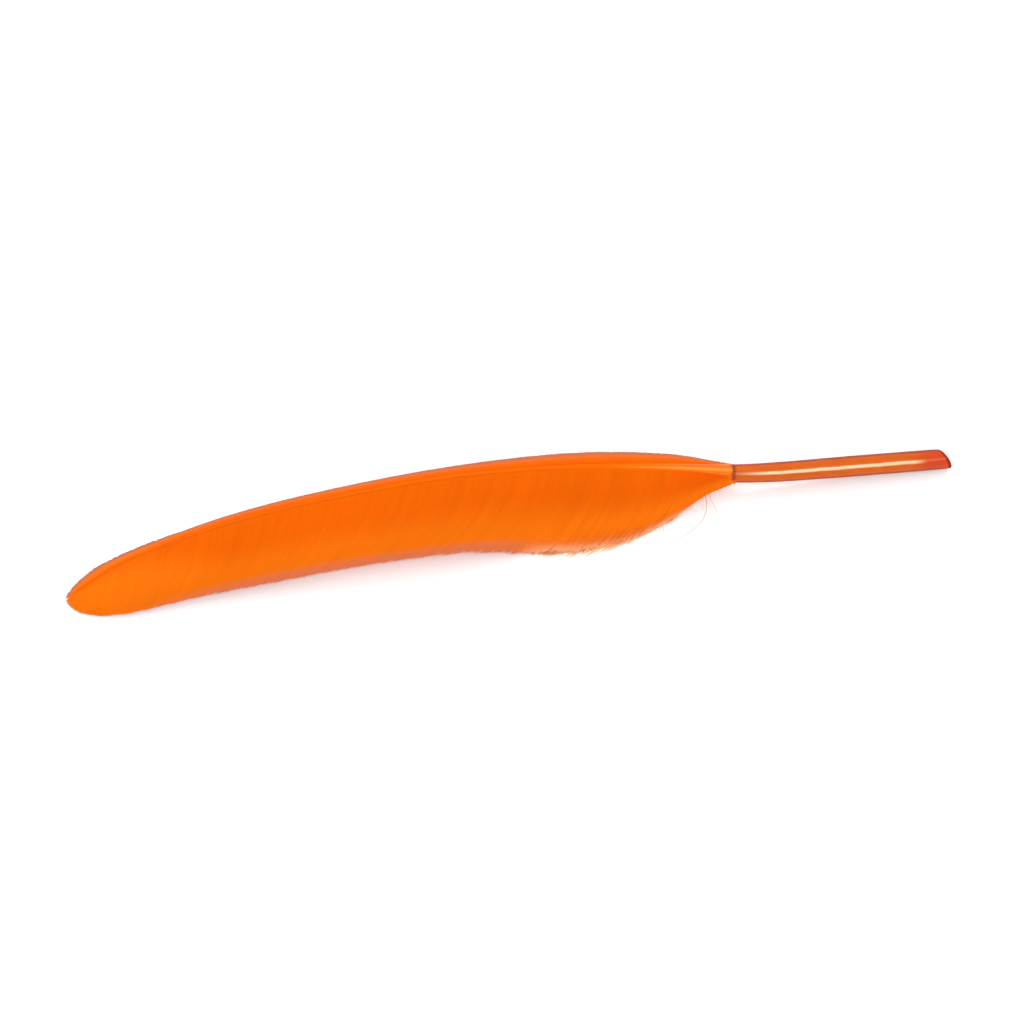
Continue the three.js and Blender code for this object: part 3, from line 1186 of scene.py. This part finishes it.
def make_camera():
    """The photograph's view of the feather."""
    place = Vector(CAMERA_PLACE) * MM
    towards = (Vector(CAMERA_TARGET) * MM - place).normalized()
    level = towards.cross(Vector((0, 0, 1))).normalized()
    right = Matrix.Rotation(-CAMERA_ROLL, 3, towards) @ level
    up = right.cross(towards)
    turn = Matrix((right, up, -towards)).transposed()
    data = bpy.data.cameras.new("camera")
    data.lens = CAMERA_LENS
    data.sensor_width = SENSOR
    data.clip_start = 0.01
    camera = bpy.data.objects.new("camera", data)
    camera.matrix_world = Matrix.Translation(place) @ turn.to_4x4()
    bpy.context.scene.collection.objects.link(camera)
    bpy.context.scene.camera = camera


def make_light(name, place, target, size, power):
    """A rectangular lamp that points at its target."""
    data = bpy.data.lights.new(name, "AREA")
    data.shape = "RECTANGLE"
    data.size, data.size_y = size
    data.energy = power
    lamp = bpy.data.objects.new(name, data)
    towards = Vector(target) - Vector(place)
    lamp.location = place
    lamp.rotation_euler = towards.to_track_quat("-Z", "Y").to_euler()
    bpy.context.scene.collection.objects.link(lamp)


def make_world():
    """Even white light from all sides."""
    world = bpy.data.worlds.new("studio")
    world.use_nodes = True
    sky = world.node_tree.nodes["Background"]
    sky.inputs["Color"].default_value = (1, 1, 1, 1)
    sky.inputs["Strength"].default_value = SKY_STRENGTH
    bpy.context.scene.world = world


# Operators


class FEATHER_OT_stage(bpy.types.Operator):
    """Adds the table, the soft lights and the camera"""

    bl_idname = "feather.stage"
    bl_label = "Stage"

    def execute(self, context):
        context.scene.view_settings.view_transform = "Standard"
        make_floor()
        make_world()
        for lamp in LAMPS:
            make_light(*lamp)
        make_camera()
        return {"FINISHED"}


class FEATHER_OT_shaft(bpy.types.Operator):
    """Adds the bare horn quill and the shaft that carries the vanes"""

    bl_idname = "feather.shaft"
    bl_label = "Quill and shaft"

    def execute(self, context):
        make_quill()
        make_rachis()
        return {"FINISHED"}


class FEATHER_OT_vanes(bpy.types.Operator):
    """Adds both vanes, barb by barb"""

    bl_idname = "feather.vanes"
    bl_label = "Vanes"

    def execute(self, context):
        make_vane("leading", 11)
        make_vane("trailing", 23)
        return {"FINISHED"}


class FEATHER_OT_down(bpy.types.Operator):
    """Adds the down at the foot of the vane and the stray hairs"""

    bl_idname = "feather.down"
    bl_label = "Down"

    def execute(self, context):
        make_down()
        make_hairs()
        return {"FINISHED"}


class FEATHER_PT_panel(bpy.types.Panel):
    bl_idname = "FEATHER_PT_panel"
    bl_label = "Goose quill feather"
    bl_space_type = "VIEW_3D"
    bl_region_type = "UI"
    bl_category = "Feather"

    def draw(self, context):
        for group in (context.scene.feather_sizes, context.scene.feather_colours):
            for key in group.__annotations__:
                self.layout.prop(group, key)
        for operator in OPERATORS:
            self.layout.operator(operator.bl_idname)


OPERATORS = (FEATHER_OT_stage, FEATHER_OT_shaft, FEATHER_OT_vanes, FEATHER_OT_down)
CLASSES = (FeatherSizes, FeatherColours, *OPERATORS, FEATHER_PT_panel)


def register():
    for cls in CLASSES:
        bpy.utils.register_class(cls)
    bpy.types.Scene.feather_sizes = PointerProperty(type=FeatherSizes)
    bpy.types.Scene.feather_colours = PointerProperty(type=FeatherColours)


def unregister():
    del bpy.types.Scene.feather_colours
    del bpy.types.Scene.feather_sizes
    for cls in reversed(CLASSES):
        bpy.utils.unregister_class(cls)


def main():
    register()
    bpy.ops.feather.stage()
    bpy.ops.feather.shaft()
    bpy.ops.feather.vanes()
    bpy.ops.feather.down()


if __name__ == "__main__":
    main()
